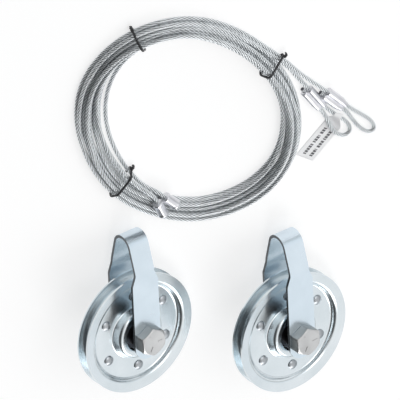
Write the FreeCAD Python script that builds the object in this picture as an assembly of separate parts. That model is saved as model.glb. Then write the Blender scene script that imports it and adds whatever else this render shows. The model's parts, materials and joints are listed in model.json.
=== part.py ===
import FreeCAD, Part
import math
import os

# Garage-door lifting kit: two stamped steel cable pulleys in forks, and a tied coil of two
# wire-rope cables.  Millimetres, +Z up.  The origin is on the floor, under the middle of the
# box around the two pulleys.  Each pulley is drawn in its own frame first (axle along Z with
# the bolt head at +Z, fork along +Y, origin at the bearing's centre) and is then laid down.

# ---- driving dimensions -------------------------------------------------------------------
SHEET = 1.2                   # pressed steel of the sheave discs
SHEAVE_RADIUS = 38.1
WEB_RADIUS = 30.4             # where the flat web turns up into the groove wall
WALL_TOP_RADIUS = 32.0        # where the wall turns out into the lip
LIP_ROOT_HEIGHT = 3.6         # middle of the sheet at the wall's top
LIP_EDGE_HEIGHT = 4.15        # middle of the sheet at the rim
HUB_OPENING_RADIUS = 10.9
HUB_TOP_RADIUS = 14.6
HUB_BASE_RADIUS = 16.6
HUB_TOP_HEIGHT = 6.3          # middle of the sheet at the hub's lip

RIVET_COUNT = 6
RIVET_CIRCLE_RADIUS = 23.9
RIVET_FIRST_ANGLE = -88.4
RIVET_SHANK_RADIUS = 1.6
RIVET_HEAD_RADIUS = 3.0
RIVET_HEAD_HEIGHT = 1.5
RIVET_HEAD_EDGE = 0.5        # the straight side below the dome

BALL_COUNT = 11
BALL_RADIUS = 3.175
BALL_PITCH_RADIUS = 11.4
BALL_CLEARANCE = 0.05
OUTER_RACE_RADIUS = 14.9
OUTER_RACE_BORE = 12.9
OUTER_RACE_SHOULDER = 3.0     # half height where its outside starts to slope in
OUTER_RACE_END_RADIUS = 13.4
INNER_RACE_RADIUS = 9.6
INNER_RACE_HALF_WIDTH = 4.6
SPACER_RADIUS = 7.8           # the inner race's ends, which the fork clamps
AXLE_CLEARANCE = 0.05

FORK_SHEET = 1.8
FORK_HALF_GAP = 10.3
FORK_SHIFT = 1.0              # the fork's middle stands off the sheave's, towards the bolt's head
FORK_WIDTH = 18.4
FORK_NECK_WIDTH = 13.5
FORK_SHOULDER_START = 38.0
FORK_SHOULDER_END = 44.5
FORK_KNEE = 46.0              # where the legs start to lean together
FORK_TOP = 67.2
FORK_BEND_RADIUS = 8.0        # outside of the bend at the top
FORK_KNEE_RADIUS = 14.0
FORK_FOOT = 13.1              # how far the round ends pass the axle
FORK_SHOULDER_FILLET = 2.5

BOLT_RADIUS = 5.0
BOLT_LENGTH = 36.6
BOLT_HEAD_HEIGHT = 6.4
BOLT_TIP_CHAMFER = 1.0
THREAD_PITCH_RADIUS = 4.513    # of the stretch that the nut grips
HEX_ACROSS_FLATS = 16.0
HEX_FIRST_CORNER = 91.5
HEX_CHAMFER_ANGLE = 30.0
HEAD_MARK_COUNT = 3
HEAD_MARK_SIZE = (3.4, 0.8, 0.25)
HEAD_MARK_START = 2.6
NUT_HEIGHT = 8.0
NUT_TURN = 17.0               # the nut's flats don't line up with the head's

PULLEY_SPACING = 93.4         # between the two axles
PULLEY_HEADING = 100.5        # where the fork points on the floor, from +X

CABLE_DIAMETER = 3.0          # 7 x 7 galvanised wire rope
COIL_CENTRE = (-36.9, 133.0)
COIL_LONG_RADIUS = 76.5       # of the oval through the middle of the band
COIL_SHORT_RADIUS = 58.0
COIL_HEADING = 122.3          # of the oval's long axis, from +X
COIL_OUTSIDE = 8.6            # how far the band reaches outside that oval
COIL_INSIDE = 7.6
COIL_HEIGHT = 8.4
COIL_TOP_CHAMFER = 3.6

TIE_ANGLES = {"tie_top_left": 2.0, "tie_top_right": 283.5, "tie_bottom_left": 106.0}
TIE_WIRE_RADIUS = 0.7
TIE_CORNER_RADIUS = 2.6

EYE_SLEEVE_LENGTH = 17.0
EYE_SLEEVE_HEIGHT = 2.4       # of its two bores above the floor
BORE_SPACING = 3.05
EYE_SLEEVE_PLACES = {         # middle of each sleeve, and where it points
    "a": ((35.3, 149.6), -48.6),
    "b": ((47.5, 149.1), -38.8),
}
EYE_NEIGHBOURS = {            # what each eye's cable rests against
    "a": ("cable_label",),
    "b": ("cable_label", "tie_top_right", "eye_sleeve_a", "cable_a_eye"),
}

STOP_SLEEVE_LENGTH = 10.5
STOP_SLEEVE_RADIUS = 3.3
STOP_TAIL_BEFORE = 1.5        # cable that shows at each end of a stop sleeve
STOP_TAIL_AFTER = 2.6
STOP_SLEEVE_PLACES = {
    "a": ((-43.8, 69.5, 8.7), -58.6),
    "b": ((-38.0, 73.2, 6.2), -38.3),
}

# Each cable from its cut stub, through its sleeve, round the eye, back through the sleeve
# and along to the coil.
EYE_ROUTES = {
    "a": [
        (25.9, 158.0, 2.4),
        (39.8, 142.2, 2.4),
        (43.2, 138.0, 1.9),
        (46.6, 132.2, 1.9),
        (49.6, 126.2, 1.9),
        (54.0, 122.0, 1.9),
        (59.2, 120.9, 1.7),
        (61.6, 125.0, 1.5),
        (59.3, 130.0, 1.5),
        (54.4, 134.4, 1.5),
        (48.4, 138.6, 1.7),
        (42.1, 144.2, 2.4),
        (30.8, 157.0, 2.4),
        (21.2, 166.6, 1.6),
        (12.6, 177.4, 2.4),
    ],
    "b": [
        (37.2, 155.4, 2.4),
        (53.2, 142.6, 2.4),
        (56.6, 139.4, 1.9),
        (60.2, 134.6, 1.5),
        (65.6, 128.0, 1.5),
        (71.8, 123.6, 1.5),
        (75.6, 127.4, 1.5),
        (71.6, 133.4, 1.5),
        (63.8, 138.6, 1.7),
        (55.1, 145.0, 2.4),
        (41.8, 155.6, 2.4),
        (31.0, 163.8, 1.6),
        (20.2, 172.6, 1.5),
        (11.8, 180.8, 1.5),
    ],
}

LABEL_WIDTH = 12.0
LABEL_THICKNESS = 0.25
LABEL_END = (38.5, 101.9)     # middle of its free end
LABEL_HEADING = 66.0
# Along the label: how far, and how high its underside is
LABEL_RIGHT_EDGE = [(0.0, 0.0), (27.0, 0.02), (33.4, 3.3), (40.5, 3.2)]
LABEL_LEFT_EDGE = [(0.0, 0.0), (33.3, 0.05), (36.5, 3.4), (39.6, 3.35)]

UP = FreeCAD.Vector(0, 0, 1)
ORIGIN = FreeCAD.Vector(0, 0, 0)


# ---- drawing helpers ----------------------------------------------------------------------
def vector(x, y, z=0.0):
    return FreeCAD.Vector(x, y, z)


def rounded_path(points, radii):
    """Straight runs through the points, joined by tangent arcs of the given radii."""
    edges = []
    start = points[0]
    for index in range(1, len(points) - 1):
        corner = points[index]
        back = (points[index - 1] - corner).normalize()
        ahead = (points[index + 1] - corner).normalize()
        turn = math.pi - back.getAngle(ahead)
        reach = radii[index - 1] * math.tan(turn / 2)
        arc_start = corner + back * reach
        arc_end = corner + ahead * reach
        middle = (back + ahead).normalize()
        depth = radii[index - 1] * (1 / math.cos(turn / 2) - 1)
        edges.append(Part.LineSegment(start, arc_start).toShape())
        edges.append(Part.Arc(arc_start, corner + middle * depth, arc_end).toShape())
        start = arc_end
    edges.append(Part.LineSegment(start, points[-1]).toShape())
    return edges


def offset_line(points, distance):
    """The same open outline in the r-z plane, moved sideways by a distance (left is plus)."""
    moved = []
    for index, point in enumerate(points):
        before = point - points[index - 1] if index > 0 else points[1] - points[0]
        after = points[index + 1] - point if index < len(points) - 1 else before
        left_before = vector(-before.z, 0, before.x).normalize()
        left_after = vector(-after.z, 0, after.x).normalize()
        middle = (left_before + left_after).normalize()
        moved.append(point + middle * (distance / middle.dot(left_before)))
    return moved


def pressed_sheet(centre_line, radii, thickness):
    """A sheet bent along a line in the r-z plane and turned round the Z axis."""
    above = offset_line(centre_line, thickness / 2)
    below = offset_line(centre_line, -thickness / 2)
    above_radii = []
    below_radii = []
    for index, radius in enumerate(radii):
        first = centre_line[index + 1] - centre_line[index]
        second = centre_line[index + 2] - centre_line[index + 1]
        turns_left = first.x * second.z - first.z * second.x > 0
        shift = -thickness / 2 if turns_left else thickness / 2
        above_radii.append(radius + shift)
        below_radii.append(radius - shift)
    edges = rounded_path(above, above_radii)
    edges.append(Part.LineSegment(above[-1], below[-1]).toShape())
    edges += rounded_path(below, below_radii)
    edges.append(Part.LineSegment(above[0], below[0]).toShape())
    return turned(Part.Wire(Part.__sortEdges__(edges)))


def turned(wire):
    """A closed outline in the r-z plane, turned a full circle round the Z axis."""
    return Part.Face(wire).revolve(ORIGIN, UP, 360)


def turned_outline(points):
    corners = [vector(radius, 0, height) for radius, height in points]
    return turned(Part.makePolygon(corners + corners[:1]))


def at_angle(shape, degrees):
    copy = shape.copy()
    copy.rotate(ORIGIN, UP, degrees)
    return copy


def mirrored(shape):
    return shape.mirror(ORIGIN, UP)


def shifted(shape):
    """Moved along the axle with the fork."""
    copy = shape.copy()
    copy.translate(UP * FORK_SHIFT)
    return copy


def hexagon(across_flats, low, height, first_corner):
    radius = across_flats / math.sqrt(3)
    corners = []
    for index in range(6):
        angle = math.radians(first_corner + 60 * index)
        corners.append(vector(radius * math.cos(angle), radius * math.sin(angle), low))
    return Part.Face(Part.makePolygon(corners + corners[:1])).extrude(UP * height)


def chamfer_cone(across_flats, low, height, top_chamfered, bottom_chamfered):
    """A turned solid that takes the corners off a hexagon."""
    flat = across_flats / 2 * 0.97
    wide = across_flats / math.sqrt(3) + 0.01
    drop = (wide - flat) * math.tan(math.radians(HEX_CHAMFER_ANGLE))
    outline = [(0, low)]
    outline += [(flat, low), (wide, low + drop)] if bottom_chamfered else [(wide, low)]
    top = low + height
    outline += [(wide, top - drop), (flat, top)] if top_chamfered else [(wide, top)]
    outline.append((0, top))
    return turned_outline(outline)


# ---- the pulley's pieces ------------------------------------------------------------------
def sheave_disc():
    line = [
        vector(HUB_OPENING_RADIUS, 0, HUB_TOP_HEIGHT),
        vector(HUB_TOP_RADIUS, 0, HUB_TOP_HEIGHT),
        vector(HUB_BASE_RADIUS, 0, SHEET / 2),
        vector(WEB_RADIUS, 0, SHEET / 2),
        vector(WALL_TOP_RADIUS, 0, LIP_ROOT_HEIGHT),
        vector(SHEAVE_RADIUS, 0, LIP_EDGE_HEIGHT),
    ]
    disc = pressed_sheet(line, [1.8, 1.6, 2.2, 2.2], SHEET)
    for index in range(RIVET_COUNT):
        hole = Part.makeCylinder(RIVET_SHANK_RADIUS, 2 * SHEET, vector(0, 0, -SHEET / 2))
        disc = disc.cut(placed_on_rivet_circle(hole, index))
    return disc


def placed_on_rivet_circle(shape, index):
    copy = shape.copy()
    copy.translate(vector(RIVET_CIRCLE_RADIUS, 0))
    return at_angle(copy, RIVET_FIRST_ANGLE + 360 / RIVET_COUNT * index)


def rivets():
    """Solid rivets with a shallow domed head on both sides."""
    top = SHEET + RIVET_HEAD_HEIGHT
    edge = SHEET + RIVET_HEAD_EDGE
    rise = top - edge
    dome_radius = (RIVET_HEAD_RADIUS ** 2 + rise ** 2) / (2 * rise)
    shank = Part.makeCylinder(RIVET_SHANK_RADIUS, 2 * SHEET, vector(0, 0, -SHEET))
    head = Part.makeCylinder(RIVET_HEAD_RADIUS, RIVET_HEAD_HEIGHT, vector(0, 0, SHEET))
    head = head.common(Part.makeSphere(dome_radius, vector(0, 0, top - dome_radius)))
    rivet = shank.fuse(head).fuse(mirrored(head)).removeSplitter()
    solids = [placed_on_rivet_circle(rivet, index).Solids[0] for index in range(RIVET_COUNT)]
    return Part.makeCompound(solids)


def ball_groove():
    return Part.makeTorus(BALL_PITCH_RADIUS, BALL_RADIUS + BALL_CLEARANCE)


def bearing_balls():
    balls = []
    for index in range(BALL_COUNT):
        ball = Part.makeSphere(BALL_RADIUS, vector(BALL_PITCH_RADIUS, 0))
        balls.append(at_angle(ball, 360 / BALL_COUNT * index))
    return Part.makeCompound(balls)


def outer_race():
    end = HUB_TOP_HEIGHT - SHEET / 2
    ring = turned_outline([
        (OUTER_RACE_BORE, -end),
        (OUTER_RACE_END_RADIUS, -end),
        (OUTER_RACE_RADIUS, -OUTER_RACE_SHOULDER),
        (OUTER_RACE_RADIUS, OUTER_RACE_SHOULDER),
        (OUTER_RACE_END_RADIUS, end),
        (OUTER_RACE_BORE, end),
    ])
    return ring.cut(ball_groove())


def inner_race():
    bore = BOLT_RADIUS + AXLE_CLEARANCE
    back = FORK_SHIFT - FORK_HALF_GAP
    front = FORK_SHIFT + FORK_HALF_GAP
    ring = turned_outline([
        (bore, back),
        (SPACER_RADIUS, back),
        (SPACER_RADIUS, -INNER_RACE_HALF_WIDTH),
        (INNER_RACE_RADIUS, -INNER_RACE_HALF_WIDTH),
        (INNER_RACE_RADIUS, INNER_RACE_HALF_WIDTH),
        (SPACER_RADIUS, INNER_RACE_HALF_WIDTH),
        (SPACER_RADIUS, front),
        (bore, front),
    ])
    return ring.cut(ball_groove())


def fork_side_view(inset):
    """The strap's side outline, made smaller by an inset, drawn in the Y-Z plane."""
    half = FORK_HALF_GAP + FORK_SHEET - inset
    bend = FORK_BEND_RADIUS - inset
    centre = FORK_TOP - FORK_BEND_RADIUS
    knee_outside = FORK_HALF_GAP + FORK_SHEET
    away = math.hypot(centre - FORK_KNEE, knee_outside)
    lean = math.atan2(knee_outside, centre - FORK_KNEE) - math.asin(FORK_BEND_RADIUS / away)
    tangent = vector(0, centre + bend * math.sin(lean), bend * math.cos(lean))
    knee = vector(0, FORK_KNEE - inset * math.tan(lean / 2), half)
    foot = vector(0, -2 * FORK_FOOT, half)
    radius = FORK_KNEE_RADIUS - inset
    upper = rounded_path([foot, knee, tangent], [radius])
    lower = [edge.mirror(ORIGIN, UP) for edge in upper]
    top = Part.Arc(
        tangent,
        vector(0, centre + bend, 0),
        vector(0, tangent.y, -tangent.z),
    ).toShape()
    close = Part.LineSegment(foot, vector(0, foot.y, -foot.z)).toShape()
    return Part.Face(Part.Wire(Part.__sortEdges__(upper + [top] + lower + [close])))


def fork_front_view():
    """The strap's outline as seen along the axle."""
    half = FORK_WIDTH / 2
    neck = FORK_NECK_WIDTH / 2
    centre = half - FORK_FOOT
    right = [
        vector(half, centre),
        vector(half, FORK_SHOULDER_START),
        vector(neck, FORK_SHOULDER_END),
        vector(neck, 2 * FORK_TOP),
    ]
    left = [vector(-point.x, point.y) for point in right]
    radii = [FORK_SHOULDER_FILLET, FORK_SHOULDER_FILLET]
    edges = rounded_path(right, radii) + rounded_path(left, radii)
    edges.append(Part.LineSegment(right[-1], left[-1]).toShape())
    edges.append(Part.Arc(right[0], vector(0, -FORK_FOOT), left[0]).toShape())
    return Part.Face(Part.Wire(Part.__sortEdges__(edges)))


def fork():
    width = FORK_WIDTH + 2
    side = []
    for inset in (0, FORK_SHEET):
        solid = fork_side_view(inset).extrude(vector(width, 0))
        solid.translate(vector(-width / 2, 0))
        side.append(solid)
    height = 4 * FORK_HALF_GAP
    front = fork_front_view().extrude(UP * height)
    front.translate(vector(0, 0, -height / 2))
    strap = side[0].cut(side[1]).common(front)
    hole = Part.makeCylinder(BOLT_RADIUS + AXLE_CLEARANCE, height, vector(0, 0, -height / 2))
    return strap.cut(hole).Solids[0]


def bolt():
    seat = FORK_HALF_GAP + FORK_SHEET
    head = hexagon(HEX_ACROSS_FLATS, seat, BOLT_HEAD_HEIGHT, HEX_FIRST_CORNER)
    head = head.common(chamfer_cone(HEX_ACROSS_FLATS, seat, BOLT_HEAD_HEIGHT, True, False))
    tip = seat - BOLT_LENGTH
    nut_low = -seat - NUT_HEIGHT
    shank = turned_outline([
        (0, tip),
        (BOLT_RADIUS - BOLT_TIP_CHAMFER, tip),
        (BOLT_RADIUS, tip + BOLT_TIP_CHAMFER),
        (BOLT_RADIUS, nut_low),
        (THREAD_PITCH_RADIUS, nut_low),
        (THREAD_PITCH_RADIUS, -seat),
        (BOLT_RADIUS, -seat),
        (BOLT_RADIUS, seat),
        (0, seat),
    ])
    whole = head.fuse(shank)
    length, width, rise = HEAD_MARK_SIZE
    for index in range(HEAD_MARK_COUNT):
        corner = vector(HEAD_MARK_START, -width / 2, seat + BOLT_HEAD_HEIGHT - rise)
        mark = Part.makeBox(length, width, 2 * rise, corner)
        whole = whole.fuse(at_angle(mark, 90 + 360 / HEAD_MARK_COUNT * index))
    return whole.removeSplitter().Solids[0]


def nut():
    low = -(FORK_HALF_GAP + FORK_SHEET + NUT_HEIGHT)
    body = hexagon(HEX_ACROSS_FLATS, low, NUT_HEIGHT, HEX_FIRST_CORNER + NUT_TURN)
    body = body.common(chamfer_cone(HEX_ACROSS_FLATS, low, NUT_HEIGHT, True, True))
    return body.cut(Part.makeCylinder(THREAD_PITCH_RADIUS, -2 * low, vector(0, 0, 2 * low)))


def pulley_pieces():
    disc = sheave_disc()
    return {
        "sheave_front_disc": disc,
        "sheave_rear_disc": mirrored(disc),
        "sheave_rivets": rivets(),
        "bearing_outer_race": outer_race(),
        "bearing_balls": bearing_balls(),
        "bearing_inner_race": inner_race(),
        "fork_strap": shifted(fork()),
        "axle_bolt": shifted(bolt()),
        "axle_nut": shifted(nut()),
    }


# ---- laying the pulleys down --------------------------------------------------------------
def resting_normal(pieces):
    """The floor's upward normal for a pulley that lies on its back on three points."""
    groups = []
    for name in ("axle_bolt", "sheave_rear_disc", "fork_strap"):
        groups.append(pieces[name].tessellate(0.01)[0])
    normal = vector(-0.4, -0.2, 0.9)
    for _ in range(10):
        contacts = [min(points, key=lambda point: point.dot(normal)) for points in groups]
        across = (contacts[1] - contacts[0]).cross(contacts[2] - contacts[0])
        normal = across.normalize() if across.z > 0 else -across.normalize()
    return normal, -contacts[0].dot(normal)


def pulley_rotation(normal):
    tilt = FreeCAD.Rotation(normal, UP)
    fork_way = tilt.multVec(vector(0, 1))
    heading = math.degrees(math.atan2(fork_way.y, fork_way.x))
    return FreeCAD.Rotation(UP, PULLEY_HEADING - heading).multiply(tilt)


def laid_pulleys():
    pieces = pulley_pieces()
    normal, height = resting_normal(pieces)
    rotation = pulley_rotation(normal)
    box = FreeCAD.BoundBox()
    for shape in pieces.values():
        for point in shape.tessellate(0.05)[0]:
            box.add(rotation.multVec(point))
    placed = {}
    for side, sign in (("left", -1), ("right", 1)):
        base = vector(sign * PULLEY_SPACING / 2 - box.Center.x, -box.Center.y, height)
        place = FreeCAD.Placement(base, rotation)
        for name, shape in pieces.items():
            placed[side + "_" + name] = shape.transformed(place.toMatrix(), True)
        print(side, "bearing centre", base, "axle", rotation.multVec(UP))
    return placed


# ---- cables, sleeves, ties and label ------------------------------------------------------
def coil_axes():
    angle = math.radians(COIL_HEADING)
    long_way = vector(math.cos(angle), math.sin(angle))
    return long_way, vector(-long_way.y, long_way.x)


def coil_point(degrees, outward=0.0, height=0.0):
    """A point beside the coil's oval, and the way out from the oval there."""
    long_way, short_way = coil_axes()
    angle = math.radians(degrees)
    point = vector(COIL_CENTRE[0], COIL_CENTRE[1], height)
    point += long_way * (COIL_LONG_RADIUS * math.cos(angle))
    point += short_way * (COIL_SHORT_RADIUS * math.sin(angle))
    out = long_way * (math.cos(angle) / COIL_LONG_RADIUS)
    out += short_way * (math.sin(angle) / COIL_SHORT_RADIUS)
    out.normalize()
    return point + out * outward, out


def coil_oval(grow):
    centre = vector(COIL_CENTRE[0], COIL_CENTRE[1])
    long_way, short_way = coil_axes()
    oval = Part.Ellipse(
        centre + long_way * (COIL_LONG_RADIUS + grow),
        centre + short_way * (COIL_SHORT_RADIUS + grow),
        centre,
    )
    return Part.Face(Part.Wire(oval.toShape())).extrude(UP * COIL_HEIGHT)


def coil_band():
    band = coil_oval(COIL_OUTSIDE).cut(coil_oval(-COIL_INSIDE))
    top = [edge for edge in band.Edges if edge.BoundBox.ZMin > COIL_HEIGHT - 0.01]
    return band.makeChamfer(COIL_TOP_CHAMFER, top)


def tie(degrees):
    """A closed loop of wire round the band, square to it."""
    wire = TIE_WIRE_RADIUS
    beside = wire * math.tan(math.radians(22.5))
    slope_start = COIL_HEIGHT - COIL_TOP_CHAMFER + beside
    slope_end = COIL_TOP_CHAMFER - beside
    point, out = coil_point(degrees)
    corners = []
    for outward, height in (
        (0.0, wire),
        (COIL_OUTSIDE + wire, wire),
        (COIL_OUTSIDE + wire, slope_start),
        (COIL_OUTSIDE - slope_end, COIL_HEIGHT + wire),
        (slope_end - COIL_INSIDE, COIL_HEIGHT + wire),
        (-COIL_INSIDE - wire, slope_start),
        (-COIL_INSIDE - wire, wire),
        (0.0, wire),
    ):
        corners.append(point + out * outward + UP * height)
    edges = rounded_path(corners, [TIE_CORNER_RADIUS] * 6)
    return swept_tube(edges, wire)


def swept_tube(edges, radius):
    path = Part.Wire(edges)
    start = edges[0].valueAt(edges[0].FirstParameter)
    way = edges[0].tangentAt(edges[0].FirstParameter)
    section = Part.Wire(Part.Circle(start, way, radius).toShape())
    return path.makePipeShell([section], True, False)


def cord_radii(points):
    """The largest arcs that the runs on each side of a corner leave room for."""
    radii = []
    for index in range(1, len(points) - 1):
        before = points[index] - points[index - 1]
        after = points[index + 1] - points[index]
        turn = before.getAngle(after)
        radii.append(0.45 * min(before.Length, after.Length) / math.tan(turn / 2))
    return radii


def cable_eye(name):
    points = [vector(*point) for point in EYE_ROUTES[name]]
    radii = cord_radii(points)
    edges = rounded_path(points, radii)
    tube = swept_tube(edges, CABLE_DIAMETER / 2)
    length = sum(edge.Length for edge in edges)
    section = math.pi * CABLE_DIAMETER ** 2 / 4
    print("cable", name, "eye: length", round(length, 1), "radii", [round(r, 1) for r in radii])
    print("  volume over section x length:", round(tube.Volume / (section * length), 4))
    return tube


def along(degrees):
    angle = math.radians(degrees)
    return vector(math.cos(angle), math.sin(angle))


def eye_sleeve(name):
    """A pressed sleeve with two bores side by side, lying flat."""
    (x, y), heading = EYE_SLEEVE_PLACES[name]
    way = along(heading)
    side = vector(-way.y, way.x)
    start = vector(x, y, EYE_SLEEVE_HEIGHT) - way * (EYE_SLEEVE_LENGTH / 2)
    left = start + side * (BORE_SPACING / 2)
    right = start - side * (BORE_SPACING / 2)
    rise = UP * EYE_SLEEVE_HEIGHT
    reach = side * EYE_SLEEVE_HEIGHT
    outline = [
        Part.LineSegment(right - rise, left - rise).toShape(),
        Part.Arc(left - rise, left + reach, left + rise).toShape(),
        Part.LineSegment(left + rise, right + rise).toShape(),
        Part.Arc(right + rise, right - reach, right - rise).toShape(),
    ]
    body = Part.Face(Part.Wire(outline)).extrude(way * EYE_SLEEVE_LENGTH)
    for bore in (left, right):
        body = body.cut(Part.makeCylinder(CABLE_DIAMETER / 2, EYE_SLEEVE_LENGTH, bore, way))
    return body


def stop_place(name):
    (x, y, z), heading = STOP_SLEEVE_PLACES[name]
    return vector(x, y, z), along(heading)


def stop_barrel(name, radius):
    middle, way = stop_place(name)
    start = middle - way * (STOP_SLEEVE_LENGTH / 2)
    return Part.makeCylinder(radius, STOP_SLEEVE_LENGTH, start, way)


def cable_tail(name):
    middle, way = stop_place(name)
    start = middle - way * (STOP_SLEEVE_LENGTH / 2 + STOP_TAIL_BEFORE)
    length = STOP_SLEEVE_LENGTH + STOP_TAIL_BEFORE + STOP_TAIL_AFTER
    return Part.makeCylinder(CABLE_DIAMETER / 2, length, start, way)


def label():
    """A strip that runs under the near strand of an eye and over the far one."""
    way = along(LABEL_HEADING)
    side = vector(-way.y, way.x) * (LABEL_WIDTH / 2)
    outlines = []
    for offset, line in ((-side, LABEL_RIGHT_EDGE), (side, LABEL_LEFT_EDGE)):
        start = vector(*LABEL_END) + offset
        under = [start + way * far + UP * high for far, high in line]
        over = [point + UP * LABEL_THICKNESS for point in under]
        outlines.append(Part.makePolygon(under + over[::-1] + under[:1]))
    return Part.makeLoft(outlines, True, True)


def cable_pieces():
    """The tied coil with the ends of its two cables, cut so that no two overlap."""
    pieces = {"cable_label": label()}
    for name, degrees in TIE_ANGLES.items():
        pieces[name] = tie(degrees)
    for name in ("a", "b"):
        barrel = stop_barrel(name, STOP_SLEEVE_RADIUS)
        pieces["cable_" + name + "_tail"] = cable_tail(name)
        pieces["stop_sleeve_" + name] = barrel.cut(pieces["cable_" + name + "_tail"])
        pieces["eye_sleeve_" + name] = eye_sleeve(name)
    for kind in ("stop_sleeve_", "eye_sleeve_"):
        pieces[kind + "b"] = pieces[kind + "b"].cut(pieces[kind + "a"])
    coil = coil_band()
    for piece in pieces.values():
        coil = coil.cut(piece)
    for name in ("a", "b"):
        coil = coil.cut(stop_barrel(name, STOP_SLEEVE_RADIUS))
    pieces["cable_coil"] = coil
    for name in ("a", "b"):
        eye = cable_eye(name).cut(coil)
        for other in EYE_NEIGHBOURS[name]:
            eye = eye.cut(pieces[other])
        pieces["cable_" + name + "_eye"] = eye
    return pieces


def main():
    os.makedirs("parts", exist_ok=True)
    pieces = laid_pulleys()
    pieces.update(cable_pieces())
    for name, shape in pieces.items():
        low = shape.BoundBox.ZMin
        print(name, shape.isValid(), len(shape.Solids), round(shape.Volume, 1), round(low, 3))
        shape.exportStep("parts/" + name + ".step")


if __name__ == "__main__":
    main()
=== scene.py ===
"""Looks for the two cable pulleys and the tied coil of lifting cables."""

import json
import math
import random

import bmesh
import bpy
from mathutils import Matrix, Vector

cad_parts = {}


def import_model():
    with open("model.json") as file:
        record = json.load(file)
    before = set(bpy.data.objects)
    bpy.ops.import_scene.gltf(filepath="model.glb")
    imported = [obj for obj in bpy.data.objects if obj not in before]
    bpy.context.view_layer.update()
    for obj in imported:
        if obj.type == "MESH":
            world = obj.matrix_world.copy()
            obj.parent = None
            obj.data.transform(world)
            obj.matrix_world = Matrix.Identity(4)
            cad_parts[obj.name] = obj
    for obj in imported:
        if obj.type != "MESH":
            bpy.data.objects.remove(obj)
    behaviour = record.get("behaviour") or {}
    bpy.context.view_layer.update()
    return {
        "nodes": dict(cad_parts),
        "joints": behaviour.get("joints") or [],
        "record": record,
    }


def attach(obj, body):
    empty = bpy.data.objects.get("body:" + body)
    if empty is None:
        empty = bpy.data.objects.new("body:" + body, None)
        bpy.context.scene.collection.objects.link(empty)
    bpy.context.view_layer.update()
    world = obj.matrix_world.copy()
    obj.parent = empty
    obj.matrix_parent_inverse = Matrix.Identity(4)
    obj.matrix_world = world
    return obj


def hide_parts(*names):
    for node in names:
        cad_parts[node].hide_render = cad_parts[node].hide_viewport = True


MM = 0.001
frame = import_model()
random.seed(11)

# Sizes of the object, in millimetres
CABLE_DIAMETER = 3.0
STRAND_COUNT = 6
STRAND_RADIUS = 0.44
ROPE_RADIUS = 1.31            # over the strands' crowns
ROPE_LAY = 17.0               # along the cable, for one turn of a strand
RING_SPACING = 1.25
SAMPLES_PER_STRAND = 6

COIL_CENTRE = (-36.9, 133.0)
COIL_LONG_RADIUS = 76.5
COIL_SHORT_RADIUS = 58.0
COIL_HEADING = math.radians(122.3)
COIL_START = 290.0            # degrees on the oval where both cables join the coil
POINTS_PER_TURN = 16
ROW_PITCH = 3.0               # from one turn to the next in a row
ROW_START = 7.2               # of the outermost turn, out from the oval
TIE_PLACES = {"tie_top_left": 2.0, "tie_top_right": 282.0, "tie_bottom_left": 108.0}
TIE_SLANTS = {"tie_top_left": 0.0, "tie_top_right": 3.0, "tie_bottom_left": 17.0}
TIE_WIRE_RADIUS = 0.7

EYE_SLEEVES = {               # middle on the floor, heading
    "a": ((35.3, 149.6), -48.6),
    "b": ((47.5, 149.1), -38.8),
}
EYE_SLEEVE_LENGTH = 17.0
EYE_SLEEVE_SHAPES = {         # half height, bores apart, taper, how far it is set back
    "a": (2.5, 3.3, 0.4, 1.6),
    "b": (2.6, 3.7, 1.2, 0.8),
}
STOP_SLEEVE_LENGTH = 10.5
STOP_SLEEVE_RADIUS = 3.3
STOP_SLEEVES = {
    "a": ((-43.8, 69.5, 8.7), -58.6),
    "b": ((-38.0, 73.2, 6.2), -38.3),
}
EYE_ROUTES = {
    "a": [
        (25.9, 158.0, 2.4), (39.8, 142.2, 2.4), (43.2, 138.0, 1.9), (46.6, 132.2, 1.9),
        (49.6, 126.2, 1.9), (54.0, 122.0, 1.9), (59.2, 120.9, 1.7), (61.6, 125.0, 1.5),
        (59.3, 130.0, 1.5), (54.4, 134.4, 1.5), (48.4, 138.6, 1.7), (42.1, 144.2, 2.4),
        (30.8, 157.0, 2.4), (21.2, 166.6, 1.6), (12.6, 177.4, 2.4),
    ],
    "b": [
        (37.2, 155.4, 2.4), (53.2, 142.6, 2.4), (56.6, 139.4, 1.9), (60.2, 134.6, 1.5),
        (65.4, 128.2, 1.5), (70.2, 124.2, 1.5), (74.4, 123.6, 1.5), (75.8, 127.8, 1.5),
        (71.8, 133.4, 1.5),
        (63.8, 138.6, 1.7), (55.1, 145.0, 2.4), (41.8, 155.6, 2.4), (30.4, 163.2, 1.6),
        (19.5, 171.7, 1.5), (11.4, 180.0, 1.5),
    ],
}
TAIL_ROUTES = {               # degrees on the oval, out from it, height
    "a": [(64, -5.6, 6.9), (84, -7.6, 6.8), (104, -8.4, 6.8), (117, -8.8, 7.6)],
    "b": [(42, -9.6, 1.5), (62, -10.9, 1.5), (80, -11.4, 1.5), (97, -10.8, 1.6),
          (110, -9.8, 2.4), (119, -9.8, 4.2)],
}


# ---------------------------------------------------------------- helpers

def metres(point):
    return Vector(point) * MM


def blend_step(value):
    value = min(1.0, max(0.0, value))
    return value * value * (3 - 2 * value)


def bump_at(degrees, centre, width):
    gap = (degrees - centre + 180) % 360 - 180
    return math.exp(-(gap / width) ** 2)


def oval_point(degrees, out, height):
    """A point by the coil's middle line: degrees round it, out from it, and height."""
    angle = math.radians(degrees)
    along = Vector((math.cos(COIL_HEADING), math.sin(COIL_HEADING)))
    across = Vector((-along.y, along.x))
    place = along * (COIL_LONG_RADIUS * math.cos(angle))
    place += across * (COIL_SHORT_RADIUS * math.sin(angle))
    normal = along * (math.cos(angle) / COIL_LONG_RADIUS)
    normal += across * (math.sin(angle) / COIL_SHORT_RADIUS)
    place += normal.normalized() * out
    return (COIL_CENTRE[0] + place.x, COIL_CENTRE[1] + place.y, height)


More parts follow.
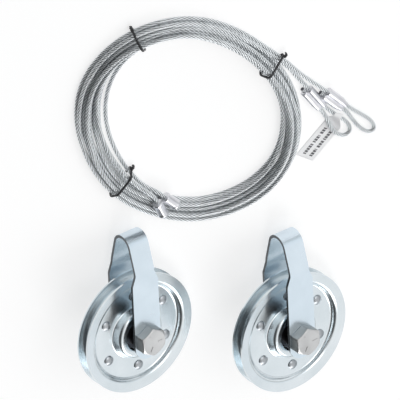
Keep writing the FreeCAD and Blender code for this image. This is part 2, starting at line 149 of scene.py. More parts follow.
def squeeze(degrees):
    """How tightly the turns are drawn together, 1 where they lie side by side."""
    drawn = 0.20 * bump_at(degrees, 284, 66) - 0.15 * bump_at(degrees, 60, 30)
    drawn += 0.08 * bump_at(degrees, 282, 20) + 0.10 * bump_at(degrees, 107, 18)
    return 0.95 - drawn + 0.36 * bump_at(degrees, 170, 42) + 0.08 * bump_at(degrees, 14, 16)


def push(degrees):
    """How far all the turns are pushed out from the oval, in mm."""
    pushed = 2.2 * bump_at(degrees, 344, 24) + 1.4 * bump_at(degrees, 40, 34)
    return pushed + 2.2 * bump_at(degrees, 152, 24) + 0.6 * bump_at(degrees, 312, 14)


def lean(degrees):
    """How far the upper rows lean out over the lowest one, in mm."""
    return 2.0 * bump_at(degrees, 106, 40) - 1.8 * bump_at(degrees, 282, 46)


def slot_a(turn):
    """Cable A: a row on top of cable B's, then part of a third row."""
    if turn <= 4:
        return 5.7 - ROW_PITCH * turn, 4.1, 0.35
    if turn < 4.3:
        step = blend_step((turn - 4) / 0.3)
        return -6.3 + 6.9 * step, 4.1 + 2.9 * min(1.0, 1.6 * step), 0.6
    return 0.6 - ROW_PITCH * (turn - 4.3), 6.9, 0.6


def slot_b(turn):
    """Cable B: the row on the floor, from the outside in."""
    return 7.2 - ROW_PITCH * turn, 1.5, 0.0


def coil_turns(slot, turns):
    points = []
    step = 360 / POINTS_PER_TURN
    for index in range(1, int(turns * POINTS_PER_TURN) + 1):
        turn = index / POINTS_PER_TURN
        degrees = COIL_START + step * index
        out, height, lifted = slot(turn)
        tight = squeeze(degrees)
        climb = CABLE_DIAMETER * math.sqrt(max(0.0, 1 - tight ** 2))
        out = ROW_START - (ROW_START - out) * tight + random.uniform(-0.25, 0.25)
        out += push(degrees) + lean(degrees) * min(1.0, (height - 1.5) / 2.6)
        height += climb * (lifted + 0.45 * (math.floor(turn + 0.4) % 2))
        if turn < 1:
            out += 2.2 * bump_at(degrees, 190, 32)
        height += 0.8 * sum(bump_at(degrees, place, 12) for place in TIE_PLACES.values())
        points.append(oval_point(degrees, out, height))
    return points


def heading_way(degrees):
    angle = math.radians(degrees)
    return Vector((math.cos(angle), math.sin(angle), 0))


def stop_end_points(name):
    """Straight through the stop sleeve, to the cut end."""
    middle, heading = STOP_SLEEVES[name]
    way = heading_way(heading)
    return [tuple(Vector(middle) + way * far) for far in (-12.0, -6.0, 0.0, 4.0, 7.85)]


def nurbs_path(name, points):
    curve = bpy.data.curves.new(name + "_line", "CURVE")
    curve.dimensions = "3D"
    curve.resolution_u = 12
    spline = curve.splines.new("NURBS")
    spline.points.add(len(points) - 1)
    for control, point in zip(spline.points, points):
        control.co = (*metres(point), 1)
    spline.order_u = 3
    spline.use_endpoint_u = True
    line = bpy.data.objects.new(name + "_line", curve)
    bpy.context.collection.objects.link(line)
    mesh = bpy.data.meshes.new_from_object(line)
    samples = [vertex.co.copy() for vertex in mesh.vertices]
    bpy.data.meshes.remove(mesh)
    bpy.data.objects.remove(line)
    return samples


def evenly(samples, spacing):
    """The same line with its points at equal distances."""
    lengths = [0.0]
    for a, b in zip(samples, samples[1:]):
        lengths.append(lengths[-1] + (b - a).length)
    count = round(lengths[-1] / spacing)
    points, index = [], 0
    for number in range(count + 1):
        far = lengths[-1] * number / count
        while index < len(samples) - 2 and lengths[index + 1] < far:
            index += 1
        part = (far - lengths[index]) / max(1e-9, lengths[index + 1] - lengths[index])
        points.append(samples[index].lerp(samples[index + 1], part))
    return points, lengths[-1]


def tube_frames(points):
    """Tangent and two normals at each point, carried along without twisting."""
    frames = []
    side = Vector((0, 0, 1))
    for index in range(len(points)):
        ahead = points[min(index + 1, len(points) - 1)]
        behind = points[max(index - 1, 0)]
        tangent = (ahead - behind).normalized()
        side = (side - tangent * side.dot(tangent)).normalized()
        frames.append((tangent, side, tangent.cross(side)))
    return frames


def strand_outline():
    """Radius of the rope's outline, in mm, at equal steps of angle."""
    middle = ROPE_RADIUS - STRAND_RADIUS
    outline = []
    for _ in range(STRAND_COUNT):
        for sample in range(SAMPLES_PER_STRAND):
            angle = math.radians(60 * (sample / SAMPLES_PER_STRAND - 0.5))
            reach = STRAND_RADIUS ** 2 - (middle * math.sin(angle)) ** 2
            outline.append(middle * math.cos(angle) + math.sqrt(max(0.0, reach)))
    return outline


def new_object(name, vertices, faces):
    mesh = bpy.data.meshes.new(name)
    mesh.from_pydata([tuple(v) for v in vertices], [], faces)
    mesh.update()
    for polygon in mesh.polygons:
        polygon.use_smooth = True
    obj = bpy.data.objects.new(name, mesh)
    bpy.context.collection.objects.link(obj)
    return obj


def rope(name, points, materials):
    """A mesh of six strands laid round each other along the points."""
    outline = strand_outline()
    size = len(outline)
    vertices, faces, far = [], [], 0.0
    for index, (point, (_, side, across)) in enumerate(zip(points, tube_frames(points))):
        if index:
            far += (point - points[index - 1]).length
        turn = math.tau * far / (ROPE_LAY * MM)
        for number, radius in enumerate(outline):
            angle = math.tau * number / size + turn
            reach = radius * MM
            vertices.append(point + (side * math.cos(angle) + across * math.sin(angle)) * reach)
    for ring in range(len(points) - 1):
        low, high = ring * size, (ring + 1) * size
        for number in range(size):
            after = (number + 1) % size
            faces.append((low + number, low + after, high + after, high + number))
    cap = len(faces)
    vertices += [points[0], points[-1]]
    first, last = len(vertices) - 2, len(vertices) - 1
    top = (len(points) - 1) * size
    for number in range(size):
        after = (number + 1) % size
        faces.append((first, after, number))
        faces.append((last, top + number, top + after))
    obj = new_object(name, vertices, faces)
    for material in materials:
        obj.data.materials.append(material)
    for polygon in obj.data.polygons[cap:]:
        polygon.material_index = 1
        polygon.use_smooth = False
    map_rope(obj, size, len(points))
    return obj


def map_rope(obj, size, rings):
    """UVs: turns of lay along the cable, and round it."""
    layer = obj.data.uv_layers.new(name="lay")
    turns = RING_SPACING / ROPE_LAY
    for polygon in obj.data.polygons:
        corners = [obj.data.loops[i].vertex_index for i in polygon.loop_indices]
        numbers = [corner % size for corner in corners]
        wrap = size - 1 in numbers and 0 in numbers
        for loop, corner, number in zip(polygon.loop_indices, corners, numbers):
            ring = min(corner // size, rings - 1)
            round_it = size if wrap and number == 0 else number
            layer.data[loop].uv = (ring * turns, round_it / size)


# ---------------------------------------------------------------- materials

def material(name):
    made = bpy.data.materials.new(name)
    made.use_nodes = True
    tree = made.node_tree
    shader = tree.nodes["Principled BSDF"]
    return made, tree, shader


def add_node(tree, kind, **settings):
    node = tree.nodes.new(kind)
    for key, value in settings.items():
        if key in node.inputs:
            node.inputs[key].default_value = value
        else:
            setattr(node, key, value)
    return node


def maths(tree, operation, first, second=0.0):
    node = add_node(tree, "ShaderNodeMath", operation=operation)
    for socket, value in zip(node.inputs, (first, second)):
        if isinstance(value, (int, float)):
            socket.default_value = value
        else:
            tree.links.new(value, socket)
    return node.outputs[0]


def noise(tree, scale, detail=3.0, stretch=(1, 1, 1)):
    place = add_node(tree, "ShaderNodeTexCoord")
    mapping = add_node(tree, "ShaderNodeMapping")
    mapping.inputs["Scale"].default_value = stretch
    texture = add_node(tree, "ShaderNodeTexNoise", Scale=scale, Detail=detail)
    tree.links.new(place.outputs["Object"], mapping.inputs["Vector"])
    tree.links.new(mapping.outputs["Vector"], texture.inputs["Vector"])
    return texture.outputs["Fac"]


def ramp(tree, value, stops):
    node = add_node(tree, "ShaderNodeValToRGB")
    elements = node.color_ramp.elements
    while len(elements) < len(stops):
        elements.new(0.5)
    for element, (position, colour) in zip(elements, stops):
        element.position = position
        element.color = (*colour, 1)
    tree.links.new(value, node.inputs["Fac"])
    return node.outputs["Color"]


def spread(tree, value, low, high):
    node = add_node(tree, "ShaderNodeMapRange")
    node.inputs["To Min"].default_value = low
    node.inputs["To Max"].default_value = high
    tree.links.new(value, node.inputs["Value"])
    return node.outputs["Result"]


def bump(tree, shader, height, strength, distance):
    node = add_node(tree, "ShaderNodeBump", Strength=strength, Distance=distance)
    tree.links.new(height, node.inputs["Height"])
    tree.links.new(node.outputs["Normal"], shader.inputs["Normal"])


def metal(name, dark, light, rough, grain=2500.0, grain_depth=0.000003):
    """A plated metal: cloudy colour, uneven roughness and a fine grain."""
    made, tree, shader = material(name)
    shader.inputs["Metallic"].default_value = 1.0
    clouds = noise(tree, 60.0, 3.0)
    tree.links.new(ramp(tree, clouds, [(0.3, dark), (0.7, light)]), shader.inputs["Base Color"])
    tree.links.new(spread(tree, noise(tree, 90.0), *rough), shader.inputs["Roughness"])
    bump(tree, shader, noise(tree, grain, 2.0), 0.5, grain_depth)
    return made


WIRES_ROUND = 18              # wire marks round the rope, and along one lay of it
WIRES_PER_LAY = 9


def rope_metal(name):
    """Wire rope, from the rope's own UVs: pale strands and fine wires, with painted shade darkening
    the gaps between strands and the grooves between wires.
    """
    made, tree, shader = material(name)
    shader.inputs["Metallic"].default_value = 0.8
    place = add_node(tree, "ShaderNodeUVMap", uv_map="lay")
    parts = add_node(tree, "ShaderNodeSeparateXYZ")
    tree.links.new(place.outputs["UV"], parts.inputs["Vector"])
    along, across = parts.outputs["X"], parts.outputs["Y"]
    # Painted shade: the colour falls to near black in the gaps between the strands, and is pale on
    # their crowns.
    strands = maths(tree, "SINE", maths(tree, "MULTIPLY", across, math.pi * STRAND_COUNT))
    crown_and_gap_shade = maths(tree, "ABSOLUTE", strands)
    wires = maths(tree, "MULTIPLY", across, math.tau * WIRES_ROUND)
    slant = maths(tree, "MULTIPLY", along, math.tau * WIRES_PER_LAY)
    ridges = maths(tree, "ABSOLUTE", maths(tree, "SINE", maths(tree, "ADD", wires, slant)))
    bump(tree, shader, ridges, 0.3, 0.00008)
    clouds = noise(tree, 220.0, 3.0)
    cloudy = maths(tree, "MULTIPLY", maths(tree, "SUBTRACT", clouds, 0.5), 0.5)
    level = maths(tree, "ADD", crown_and_gap_shade, cloudy)
    # Painted shade in the grooves between the fine wires.
    painted_groove_shade = maths(tree, "MULTIPLY", maths(tree, "SUBTRACT", 1.0, ridges), 0.12)
    level = maths(tree, "SUBTRACT", level, painted_groove_shade)
    colour = ramp(tree, level, [
        (0.05, (0.07, 0.075, 0.08)), (0.38, (0.42, 0.44, 0.45)),
        (0.66, (0.80, 0.83, 0.85)), (1.0, (0.94, 0.97, 0.99)),
    ])
    tree.links.new(colour, shader.inputs["Base Color"])
    tree.links.new(spread(tree, noise(tree, 500.0), 0.30, 0.45), shader.inputs["Roughness"])
    return made


def strap_metal(name, width_way):
    """The fork's strap: zinc on its faces, and painted shade on its cut edges, which are coloured
    near black.
    """
    made, tree, shader = material(name)
    shader.inputs["Metallic"].default_value = 1.0
    clouds = noise(tree, 50.0, 3.0)
    faces = ramp(tree, clouds, [(0.3, (0.66, 0.75, 0.82)), (0.7, (0.73, 0.82, 0.89))])
    place = add_node(tree, "ShaderNodeTexCoord")
    across = add_node(tree, "ShaderNodeVectorMath", operation="DOT_PRODUCT")
    across.inputs[1].default_value = width_way
    tree.links.new(place.outputs["Normal"], across.inputs[0])
    sideways = maths(tree, "ABSOLUTE", across.outputs["Value"])
    # Painted shade: faces that turn across the strap's width, its cut edges, are coloured near black.
    edge = maths(tree, "GREATER_THAN", sideways, 0.7)
    mix = add_node(tree, "ShaderNodeMix", data_type="RGBA")
    tree.links.new(edge, mix.inputs["Factor"])
    tree.links.new(faces, mix.inputs["A"])
    mix.inputs["B"].default_value = (0.11, 0.12, 0.13, 1)
    tree.links.new(mix.outputs["Result"], shader.inputs["Base Color"])
    tree.links.new(spread(tree, noise(tree, 90.0), 0.20, 0.30), shader.inputs["Roughness"])
    bump(tree, shader, noise(tree, 2500.0, 2.0), 0.4, 0.000003)
    return made


def plastic(name, dark, light, rough, grain_depth):
    made, tree, shader = material(name)
    clouds = noise(tree, 180.0)
    tree.links.new(ramp(tree, clouds, [(0.3, dark), (0.7, light)]), shader.inputs["Base Color"])
    tree.links.new(spread(tree, noise(tree, 500.0), *rough), shader.inputs["Roughness"])
    bump(tree, shader, noise(tree, 1500.0), 0.4, grain_depth)
    return made


SHEAVE = metal("sheave_zinc", (0.68, 0.74, 0.77), (0.76, 0.81, 0.84), (0.18, 0.27))
RIVET = metal("rivet_steel", (0.32, 0.34, 0.36), (0.46, 0.48, 0.50), (0.26, 0.38))
# Painted shade: the bearing's races are coloured near black, standing for the shade inside the hub's
# opening.
RACE_PAINTED_SHADE = metal("race_steel", (0.045, 0.045, 0.05), (0.12, 0.12, 0.13), (0.25, 0.40))
BALL = metal("ball_steel", (0.70, 0.71, 0.73), (0.80, 0.81, 0.83), (0.06, 0.10), grain_depth=1e-6)
BOLT = metal("bolt_steel", (0.50, 0.50, 0.50), (0.68, 0.68, 0.68), (0.30, 0.46), grain=500.0)
# Painted shade: a darker copy of the bolt's metal, for the flats of the heads and nuts.
BOLT_FLATS_SHADE = metal("bolt_flats_painted_shade", (0.26, 0.26, 0.255), (0.44, 0.44, 0.43), (0.26, 0.40), grain=900.0)
SLEEVE = metal("sleeve_aluminium", (0.60, 0.60, 0.63), (0.84, 0.84, 0.87), (0.24, 0.42),
               grain=700.0)
# The rope's metal carries painted shade in its strand gaps and wire grooves.
WIRE = rope_metal("cable_wire")
CUT = metal("cut_end", (0.06, 0.06, 0.07), (0.14, 0.14, 0.16), (0.4, 0.6))
TIE = plastic("tie_black", (0.012, 0.012, 0.014), (0.03, 0.03, 0.034), (0.28, 0.42), 0.00002)
LABEL = plastic("label_white", (0.86, 0.86, 0.87), (0.91, 0.91, 0.92), (0.35, 0.50), 0.00001)
INK = plastic("label_ink", (0.05, 0.05, 0.055), (0.10, 0.10, 0.11), (0.45, 0.60), 0.00001)


# ---------------------------------------------------------------- pulleys' hardware

HEAD_LOW = 13.1               # all along the axle, from the middle of the sheave
HEAD_HIGH = 19.5
HEAD_FLAT = 8.0
HEAD_TOP_RADIUS = 7.6
HEAD_CORNER = math.radians(91.5)
HEAD_MARKS = 3
NUT_LOW = -19.1
NUT_HIGH = -11.1
NUT_CORNER = math.radians(48.5)
THREAD_END = -23.5
THREAD_START = -18.2
THREAD_PITCH = 1.5
THREAD_RADIUS = 5.0
THREAD_DEPTH = 0.85


def pulley_frame(side):
    """Matrix from a pulley's own millimetres to the row frame."""
    joint = next(j for j in frame["joints"] if j["name"] == side + "_sheave_spin")
    mount = next(m for m in frame["record"]["mounts"] if m["name"] == side + "_fork_eye")
    axle, fork = Vector(joint["axis"]), Vector(mount["axis"])
    fork = (fork - axle * fork.dot(axle)).normalized()
    turn = Matrix((fork.cross(axle), fork, axle)).transposed().to_4x4()
    return Matrix.Translation(joint["pos_m"]) @ turn @ Matrix.Scale(MM, 4)


def hex_reach(angle, corner):
    turn = (angle - corner) % (math.pi / 3) - math.pi / 6
    return HEAD_FLAT / math.cos(turn)


def rings_mesh(name, rings):
    """A surface through rings of points, capped at both ends."""
    size = len(rings[0])
    vertices = [point for ring in rings for point in ring]
    faces = []
    for index in range(len(rings) - 1):
        low, high = index * size, (index + 1) * size
        for number in range(size):
            after = (number + 1) % size
            faces.append((low + number, low + after, high + after, high + number))
    faces.append(tuple(range(size))[::-1])
    faces.append(tuple(range((len(rings) - 1) * size, len(rings) * size)))
    return new_object(name, vertices, faces)


def polar_ring(reach, height, count=96):
    ring = []
    for number in range(count):
        angle = math.tau * number / count
        radius = reach(angle) if callable(reach) else reach
        level = height(angle) if callable(height) else height
        ring.append(Vector((radius * math.cos(angle), radius * math.sin(angle), level)))
    return ring


def hexagon_rings(corner, low, high, chamfers):
    """Rings of a hexagon whose ends are cut back by a 30 degree cone."""
    slope = math.tan(math.radians(30))

    def reach(angle):
        return hex_reach(angle, corner)

    def high_edge(angle):
        return high - max(0.0, reach(angle) - HEAD_TOP_RADIUS) * slope

    def low_edge(angle):
        return low + max(0.0, reach(angle) - HEAD_TOP_RADIUS) * slope

    rings = []
    if "low" in chamfers:
        rings += [polar_ring(HEAD_TOP_RADIUS, low), polar_ring(reach, low_edge)]
    else:
        rings += [polar_ring(reach, low)]
    rings += [polar_ring(reach, high_edge), polar_ring(HEAD_TOP_RADIUS, high)]
    return rings


def thread_rings():
    rings = []
    steps = 44
    for index in range(steps + 1):
        level = THREAD_END + (THREAD_START - THREAD_END) * index / steps

        def reach(angle):
            phase = (level / THREAD_PITCH - angle / math.tau) % 1
            depth = THREAD_DEPTH * min(1.0, 2.4 * min(phase, 1 - phase))
            return min(THREAD_RADIUS - depth, 3.9 + (level - THREAD_END))

        rings.append(polar_ring(reach, level, 48))
    return rings


def soften(obj, width):
    bevel = obj.modifiers.new("soften", "BEVEL")
    bevel.width = width * MM
    bevel.segments = 2
    bevel.limit_method = "ANGLE"
    bevel.angle_limit = math.radians(30)
    return obj


def sharp_by_angle(obj, angle):
    """Smooth shading that breaks at edges sharper than the angle."""
    work = bmesh.new()
    work.from_mesh(obj.data)
    for face in work.faces:
        face.smooth = True
    for edge in work.edges:
        turn = edge.calc_face_angle(0)
        edge.smooth = turn < math.radians(angle)
    work.to_mesh(obj.data)
    work.free()
    return obj


def dress(obj, finish, body, slot_name, *nodes):
    obj.data.materials.append(finish)
    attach(obj, body)
    if nodes:
        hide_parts(*nodes)
    return obj


def placed(obj, place):
    obj.data.transform(place)
    return obj


def paint_shade_on_flats(obj, place):
    """Painted shade: the hexagon's sides get a darker copy of the bolt's metal than its faces."""
    axle = (place.to_3x3() @ Vector((0, 0, 1))).normalized()
    obj.data.materials.append(BOLT_FLATS_SHADE)
    for polygon in obj.data.polygons:
        if abs(polygon.normal.dot(axle)) < 0.2:
            polygon.material_index = 1


def head_mark(side, index):
    """A low raised bar on the bolt's head, pointing away from its middle."""
    work = bmesh.new()
    bmesh.ops.create_cube(work, size=1)
    far = Matrix.Translation((4.3, 0, HEAD_HIGH + 0.05)) @ Matrix.Diagonal((3.4, 0.8, 0.4, 1))
    turn = Matrix.Rotation(HEAD_CORNER + math.radians(30) + math.tau * index / HEAD_MARKS, 4, "Z")
    bmesh.ops.transform(work, matrix=turn @ far, verts=work.verts)
    bmesh.ops.bevel(work, geom=list(work.edges), offset=0.14, segments=2, affect="EDGES")
    mesh = bpy.data.meshes.new(side + "_head_mark")
    work.to_mesh(mesh)
    work.free()
    obj = bpy.data.objects.new(side + "_head_mark_" + str(index + 1), mesh)
    bpy.context.collection.objects.link(obj)
    return obj


for side in ("left", "right"):
    place = pulley_frame(side)
    body = side + "_fork"
    head_rings = hexagon_rings(HEAD_CORNER, HEAD_LOW, HEAD_HIGH, "high")
    head = rings_mesh(side + "_bolt_head", head_rings)
    shank = rings_mesh(side + "_bolt_shank", [
        polar_ring(THREAD_RADIUS, HEAD_LOW + 0.1, 48), polar_ring(THREAD_RADIUS, NUT_HIGH, 48),
        polar_ring(THREAD_RADIUS - 0.15, NUT_HIGH, 48),
        polar_ring(THREAD_RADIUS - 0.15, THREAD_START - 0.1, 48),
    ])
    thread = rings_mesh(side + "_bolt_thread", thread_rings())
    nut = rings_mesh(side + "_nut", hexagon_rings(NUT_CORNER, NUT_LOW, NUT_HIGH, "low high"))
    for piece in (head, shank, thread, nut):
        sharp_by_angle(placed(piece, place), 24)
        dress(piece, BOLT, body, "bolt_steel", side + ("_axle_nut" if piece is nut else "_axle_bolt"))
    # Painted shade on the flats of the head and nut.
    for piece in (head, nut):
        paint_shade_on_flats(piece, place)
        soften(piece, 0.25)
    for index in range(HEAD_MARKS):
        mark = placed(head_mark(side, index), place)
        dress(mark, BOLT, body, "bolt_steel", side + "_axle_bolt")


# ---------------------------------------------------------------- sleeves, ties, label

def along_frame(middle, heading):
    """Matrix whose X runs along the heading, from millimetres to the row frame."""
    way = heading_way(heading)
    turn = Matrix((way, Vector((0, 0, 1)).cross(way), Vector((0, 0, 1)))).transposed().to_4x4()
    return Matrix.Translation(metres(middle)) @ turn @ Matrix.Scale(MM, 4)


def pressed_profile(far, length, edge):
    """How far the surface is drawn in at a distance from the sleeve's middle."""
    end = length / 2 - abs(far)
    if end >= edge:
        return 0.0
    return edge - math.sqrt(max(0.0, edge ** 2 - (edge - end) ** 2))


def eye_sleeve(name, half_height, bore_spacing, taper):
    """A smooth two-bore sleeve pressed in at its waist and drawn in towards its eye."""
    length = EYE_SLEEVE_LENGTH
    rings = []
    count, steps = 72, 52
    for index in range(steps + 1):
        far = length * (index / steps - 0.5)
        back = pressed_profile(far, length, 0.5)
        drawn = taper * blend_step((far - length * 0.18) / (length * 0.32))
        ring = []
        for number in range(count):
            angle = math.tau * number / count
            x, y = math.cos(angle), math.sin(angle)
            reach = half_height - back - 0.4 * drawn
            lobe = (bore_spacing - drawn) / 2 * (1 if x > 0 else -1) * min(1.0, abs(x) * 3)
            waist = 0.9 * math.exp(-((lobe + reach * x) / 0.9) ** 2)
            ring.append(Vector((far, lobe + reach * x, y * (reach - waist))))
        rings.append(ring)
    return rings_mesh(name, rings)


def stop_sleeve(name):
    """A round sleeve pressed to eight flats between plain ends."""
    length, radius = STOP_SLEEVE_LENGTH, STOP_SLEEVE_RADIUS
    rings = []
    count, steps = 64, 40
    for index in range(steps + 1):
        far = length * (index / steps - 0.5)
        back = pressed_profile(far, length, 0.6)
        flat = 0.5 * blend_step((length / 2 - 1.2 - abs(far)) / 0.9)
        ring = []
        for number in range(count):
            angle = math.tau * number / count
            turn = angle % (math.pi / 4) - math.pi / 8
            eight = radius * math.cos(math.pi / 8) / math.cos(turn)
            reach = radius * (1 - flat) + eight * flat - 0.25 * flat - back
            ring.append(Vector((far, reach * math.cos(angle), reach * math.sin(angle))))
        rings.append(ring)
    return rings_mesh(name, rings)


for name in ("a", "b"):
    (x, y), heading = EYE_SLEEVES[name]
    half_height, spacing, taper, set_back = EYE_SLEEVE_SHAPES[name]
    eye = eye_sleeve("eye_sleeve_" + name + "_pressed", half_height, spacing, taper)
    middle = Vector((x, y, half_height)) - heading_way(heading) * set_back
    placed(eye, along_frame(middle, heading))
    dress(sharp_by_angle(eye, 50), SLEEVE, "cables", "sleeve_aluminium", "eye_sleeve_" + name)
    middle, heading = STOP_SLEEVES[name]
    stop = stop_sleeve("stop_sleeve_" + name + "_pressed")
    placed(stop, along_frame(middle, heading))
    dress(sharp_by_angle(stop, 50), SLEEVE, "cables", "sleeve_aluminium", "stop_sleeve_" + name)


CABLE_LINES = []
SLOTS = {"a": (slot_a, 5.35), "b": (slot_b, 5.3)}
for name, (slot, turns) in SLOTS.items():
    route = list(EYE_ROUTES[name])
    route += coil_turns(slot, turns)
    route += [oval_point(*place) for place in TAIL_ROUTES[name]]
    route += stop_end_points(name)
    line, length = evenly(nurbs_path("cable_" + name, route), RING_SPACING * MM)
    print("cable", name, "length", round(length, 4))
    CABLE_LINES.append(line)
    cable = rope("rope_" + name, line, (WIRE, CUT))
    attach(cable, "cables")
    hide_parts("cable_coil", "cable_" + name + "_eye", "cable_" + name + "_tail")


def crossings(lines, degrees, slant):
    """Where the cables pass a tie: (out, height) in mm from the oval there."""
    base = Vector(oval_point(degrees, 0, 0))
    out_way = (Vector(oval_point(degrees, 1, 0)) - base).normalized()
    out_way.rotate(Matrix.Rotation(math.radians(slant), 3, "Z"))
    along_way = Vector((-out_way.y, out_way.x, 0))
    found = []
    for line in lines:
        local = [point / MM - base for point in line]
        for a, b in zip(local, local[1:]):
            low, high = a.dot(along_way), b.dot(along_way)
            if low * high <= 0 and low != high:
                point = a.lerp(b, low / (low - high))
                if abs(point.dot(out_way)) < 16:
                    found.append((point.dot(out_way), point.z))
    return base, out_way, along_way, found


def hull(points):
    """Convex outline of flat points, anticlockwise."""
    points = sorted(set(points))
    halves = []
    for run in (points, points[::-1]):
        half = []
        for point in run:
            while len(half) > 1:
                (ax, ay), (bx, by) = half[-2], half[-1]
                if (bx - ax) * (point[1] - ay) - (by - ay) * (point[0] - ax) > 0:
                    break
                half.pop()
            half.append(point)
        halves.append(half[:-1])
    return halves[0] + halves[1]


def tube(name, points, radius, sides=12):
    """A round wire along the points, which are in metres."""
    rings = []
    for point, (_, side, across) in zip(points, tube_frames(points)):
        ring = []
        for number in range(sides):
            angle = math.tau * number / sides
            ring.append(point + (side * math.cos(angle) + across * math.sin(angle)) * radius * MM)
        rings.append(ring)
    return rings_mesh(name, rings)


TAIL_LENGTH = 3.6             # of a tie's twisted ends
TAIL_STRAIGHT = 1.0           # before they curl down
TAIL_CURL = math.radians(120)
TAIL_CURL_RADIUS = 1.1
TAIL_TWIST = 2.4              # along the ends, for one turn
TAIL_WIRE_RADIUS = 0.5
TAIL_STEPS = 30
TIE_STEP = 0.9                # along a tie's loop


def pigtail(start, way, side, up):
    """The two short ends of a tie, twisted together and tucked down."""
    wires = []
    for phase in (0.0, math.pi):
        wire = []
        for step in range(TAIL_STEPS + 1):
            far = TAIL_LENGTH * step / TAIL_STEPS
            curled = max(0.0, far - TAIL_STRAIGHT)
            curl = TAIL_CURL * curled / (TAIL_LENGTH - TAIL_STRAIGHT)
            ahead = min(far, TAIL_STRAIGHT) + TAIL_CURL_RADIUS * math.sin(curl)
            middle = start + way * ahead
            middle -= up * (TAIL_CURL_RADIUS * (1 - math.cos(curl)))
            turn = phase + math.tau * far / TAIL_TWIST
            round_it = side * math.cos(turn) + up * math.sin(turn)
            wire.append(middle + round_it * TAIL_WIRE_RADIUS)
        wires.append(wire)
    return wires


def make_tie(name, degrees, lines, tail_inside):
    base, out_way, along_way, found = crossings(lines, degrees, TIE_SLANTS[name])
    reach = CABLE_DIAMETER / 2 + TIE_WIRE_RADIUS
    around = []
    for out, height in found:
        for number in range(24):
            angle = math.tau * number / 24
            level = max(TIE_WIRE_RADIUS, height + reach * math.sin(angle))
            around.append((round(out + reach * math.cos(angle), 3), round(level, 3)))
    outline = hull(around)
    points = [base + out_way * out + Vector((0, 0, height)) for out, height in outline]
    loop = [metres(point) for point in points + points[:1]]
    smooth, _ = evenly(loop, TIE_STEP * MM)
    ring = tube(name + "_loop", smooth, TIE_WIRE_RADIUS)
    dress(ring, TIE, "cables", "tie_black", name)
    edge = min(outline) if tail_inside else max(outline)
    start = base + out_way * edge[0] + Vector((0, 0, max(3.4, edge[1])))
    outward = -out_way if tail_inside else out_way
    for index, wire in enumerate(pigtail(start, outward, along_way, Vector((0, 0, 1)))):
        end = tube(name + "_end_" + str(index + 1), [metres(point) for point in wire],
                   TAIL_WIRE_RADIUS)
        dress(end, TIE, "cables", "tie_black", name)


TAILS_INSIDE = {"tie_top_left": False, "tie_top_right": False, "tie_bottom_left": True}
for name, degrees in TIE_PLACES.items():
    make_tie(name, degrees, CABLE_LINES, TAILS_INSIDE[name])


LABEL_END = Vector((38.5, 101.9, 0))
LABEL_HEADING = 66.0
LABEL_WIDTH = 12.0
LABEL_THICKNESS = 0.2
# Each edge from its free end: how far along, and how high
LABEL_RIGHT_EDGE = [(0.0, 0.0), (27.0, 0.02), (33.4, 3.3), (40.5, 3.2)]
LABEL_LEFT_EDGE = [(0.0, 0.0), (33.3, 0.05), (36.5, 3.4), (39.6, 3.35)]
LABEL_ROWS, LABEL_COLUMNS = 24, 80
LABEL_TAPER = (27.0, 38.0, 6.6)     # where it starts and ends, and how much it takes off
# Rows of each line of print, and the columns that its words take up
LABEL_LINES = {(5, 9): ((5, 17), (20, 31), (33, 52)), (14, 18): ((5, 22), (25, 37), (39, 50))}
LABEL_MARK_STEP = 4           # columns from one bar to the next, the last of them blank


def on_profile(line, part):
    """The point a part of the way along a label edge, with its bends eased."""
    far = line[-1][0] * part
    total, weight = 0.0, 0.0
    for offset in (-1.2, -0.6, 0.0, 0.6, 1.2):
        place = min(line[-1][0], max(0.0, far + offset))
        for (x0, z0), (x1, z1) in zip(line, line[1:]):
            if x0 <= place <= x1:
                total += z0 + (z1 - z0) * (place - x0) / (x1 - x0)
                weight += 1
                break
    return far, total / weight + 0.12


def is_marked(row, column):
    """Whether a cell of the label lies in one of its printed bars."""
    if column % LABEL_MARK_STEP == LABEL_MARK_STEP - 1:
        return False
    for (low, high), words in LABEL_LINES.items():
        if low <= row < high:
            return any(start <= column < end for start, end in words)
    return False


def make_label():
    """A strip under one strand of an eye and over the other, with two rows of plain bars."""
    way = heading_way(LABEL_HEADING)
    side = Vector((-way.y, way.x, 0))
    vertices, faces = [], []
    for column in range(LABEL_COLUMNS + 1):
        part = column / LABEL_COLUMNS
        right, left = on_profile(LABEL_RIGHT_EDGE, part), on_profile(LABEL_LEFT_EDGE, part)
        for row in range(LABEL_ROWS + 1):
            share = row / LABEL_ROWS
            far = right[0] + (left[0] - right[0]) * share
            high = right[1] + (left[1] - right[1]) * share
            start, end, cut = LABEL_TAPER
            narrow = cut * blend_step((far - start) / (end - start))
            across = LABEL_WIDTH * (share - 0.5) + narrow * (1 - share)
            vertices.append(metres(LABEL_END + way * far + side * across + Vector((0, 0, high))))
    marked = []
    for column in range(LABEL_COLUMNS):
        for row in range(LABEL_ROWS):
            low = column * (LABEL_ROWS + 1) + row
            high = low + LABEL_ROWS + 1
            faces.append((low, low + 1, high + 1, high))
            marked.append(is_marked(row, column))
    strip = new_object("label_strip", vertices, [face[::-1] for face in faces])
    strip.data.materials.append(LABEL)
    strip.data.materials.append(INK)
    for polygon, mark in zip(strip.data.polygons, marked):
        polygon.material_index = int(mark)
    solid = strip.modifiers.new("thickness", "SOLIDIFY")
    solid.thickness = LABEL_THICKNESS * MM
    solid.offset = 0
    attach(strip, "cables")
    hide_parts("cable_label")


make_label()


# ---------------------------------------------------------------- CAD nodes

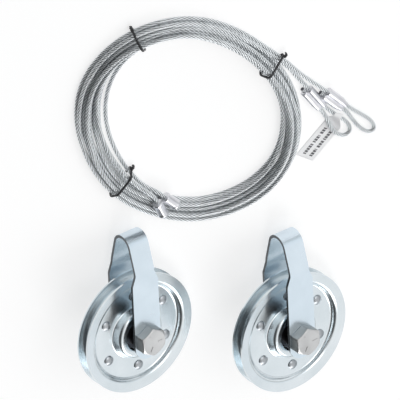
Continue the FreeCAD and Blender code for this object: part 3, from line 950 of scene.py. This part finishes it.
FINISHES = {
    "sheave_front_disc": SHEAVE, "sheave_rear_disc": SHEAVE, "sheave_rivets": RIVET,
    "bearing_outer_race": RACE_PAINTED_SHADE, "bearing_inner_race": RACE_PAINTED_SHADE, "bearing_balls": BALL,
    "axle_bolt": BOLT, "axle_nut": BOLT,
    "eye_sleeve_a": SLEEVE, "eye_sleeve_b": SLEEVE, "stop_sleeve_a": SLEEVE,
    "stop_sleeve_b": SLEEVE, "tie_top_left": TIE, "tie_top_right": TIE,
    "tie_bottom_left": TIE, "cable_label": LABEL,
}
for node, obj in frame["nodes"].items():
    short = node.removeprefix("left_").removeprefix("right_")
    if short in FINISHES:
        obj.data.materials.clear()
        obj.data.materials.append(FINISHES[short])
for side in ("left", "right"):
    width_way = (pulley_frame(side).to_3x3() @ Vector((1, 0, 0))).normalized()
    strap = frame["nodes"][side + "_fork_strap"]
    strap.data.materials.clear()
    strap.data.materials.append(strap_metal(side + "_fork_zinc_edge_shade", width_way))


# ---------------------------------------------------------------- stage

def stage():
    floor = new_object("floor", [(-6, -6, 0), (6, -6, 0), (6, 6, 0), (-6, 6, 0)], [(0, 1, 2, 3)])
    made, _, shader = material("floor_white")
    shader.inputs["Base Color"].default_value = (0.45, 0.45, 0.45, 1)
    shader.inputs["Emission Color"].default_value = (1, 1, 1, 1)
    shader.inputs["Emission Strength"].default_value = 0.64
    shader.inputs["Roughness"].default_value = 0.9
    shader.inputs["Specular IOR Level"].default_value = 0.1
    floor.data.materials.append(made)


def area_light(name, place, target, size, power):
    data = bpy.data.lights.new(name, "AREA")
    data.shape = "RECTANGLE"
    data.size, data.size_y = size
    data.energy = power
    light = bpy.data.objects.new(name, data)
    bpy.context.collection.objects.link(light)
    light.location = place
    light.rotation_euler = (Vector(target) - Vector(place)).to_track_quat("-Z", "Y").to_euler()


def world(strength, stops, dark_way, dark_range, dark_level):
    """A soft studio: brighter upwards, with a dark screen on one side."""
    made = bpy.data.worlds.new("room")
    bpy.context.scene.world = made
    made.use_nodes = True
    tree = made.node_tree
    background = tree.nodes["Background"]
    background.inputs["Strength"].default_value = strength
    place = add_node(tree, "ShaderNodeTexCoord")
    parts = add_node(tree, "ShaderNodeSeparateXYZ")
    tree.links.new(place.outputs["Generated"], parts.inputs["Vector"])
    sky = ramp(tree, parts.outputs["Z"], stops)
    towards = add_node(tree, "ShaderNodeVectorMath", operation="DOT_PRODUCT")
    towards.inputs[1].default_value = dark_way
    tree.links.new(place.outputs["Generated"], towards.inputs[0])
    screen = add_node(tree, "ShaderNodeMapRange", interpolation_type="SMOOTHSTEP")
    screen.inputs["From Min"].default_value, screen.inputs["From Max"].default_value = dark_range
    screen.inputs["To Min"].default_value, screen.inputs["To Max"].default_value = 1.0, dark_level
    tree.links.new(towards.outputs["Value"], screen.inputs["Value"])
    scaled = add_node(tree, "ShaderNodeVectorMath", operation="SCALE")
    tree.links.new(sky, scaled.inputs[0])
    tree.links.new(screen.outputs["Result"], scaled.inputs["Scale"])
    tree.links.new(scaled.outputs["Vector"], background.inputs["Color"])


def camera():
    """Looks from 45 degrees above, with the coil at the top of the picture."""
    right = Vector((0.9637, 0.1815, 0.1957))
    up = Vector((0, 0.7332, -0.6800))
    back = right.cross(up)
    data = bpy.data.cameras.new("camera")
    data.lens = 1500
    data.sensor_width = 36
    width = 0.2323
    distance = width * data.lens / data.sensor_width
    obj = bpy.data.objects.new("camera", data)
    bpy.context.collection.objects.link(obj)
    place = Vector((-0.0178, 0.0675, 0)) - right * 0.0001 + up * 0.0005 + back * distance
    obj.matrix_world = Matrix.Translation(place) @ Matrix((right, up, back)).transposed().to_4x4()
    data.clip_start, data.clip_end = 0.5, 40
    bpy.context.scene.camera = obj


stage()
world(1.0, [(0.0, (0.34, 0.36, 0.36)), (0.10, (0.56, 0.58, 0.58)), (0.28, (0.88, 0.92, 0.95)),
            (0.60, (1.0, 1.0, 1.0)), (1.0, (1.0, 1.0, 1.0))],
      (-0.84, -0.34, 0.42), (0.15, 0.70), 0.06)
area_light("key", (0.55, -1.0, 1.1), (0, 0.05, 0), (0.8, 0.8), 6)
area_light("fill", (0.4, 1.2, 1.3), (0, 0.05, 0), (0.9, 0.9), 4)
camera()
bpy.context.scene.view_settings.view_transform = "Standard"
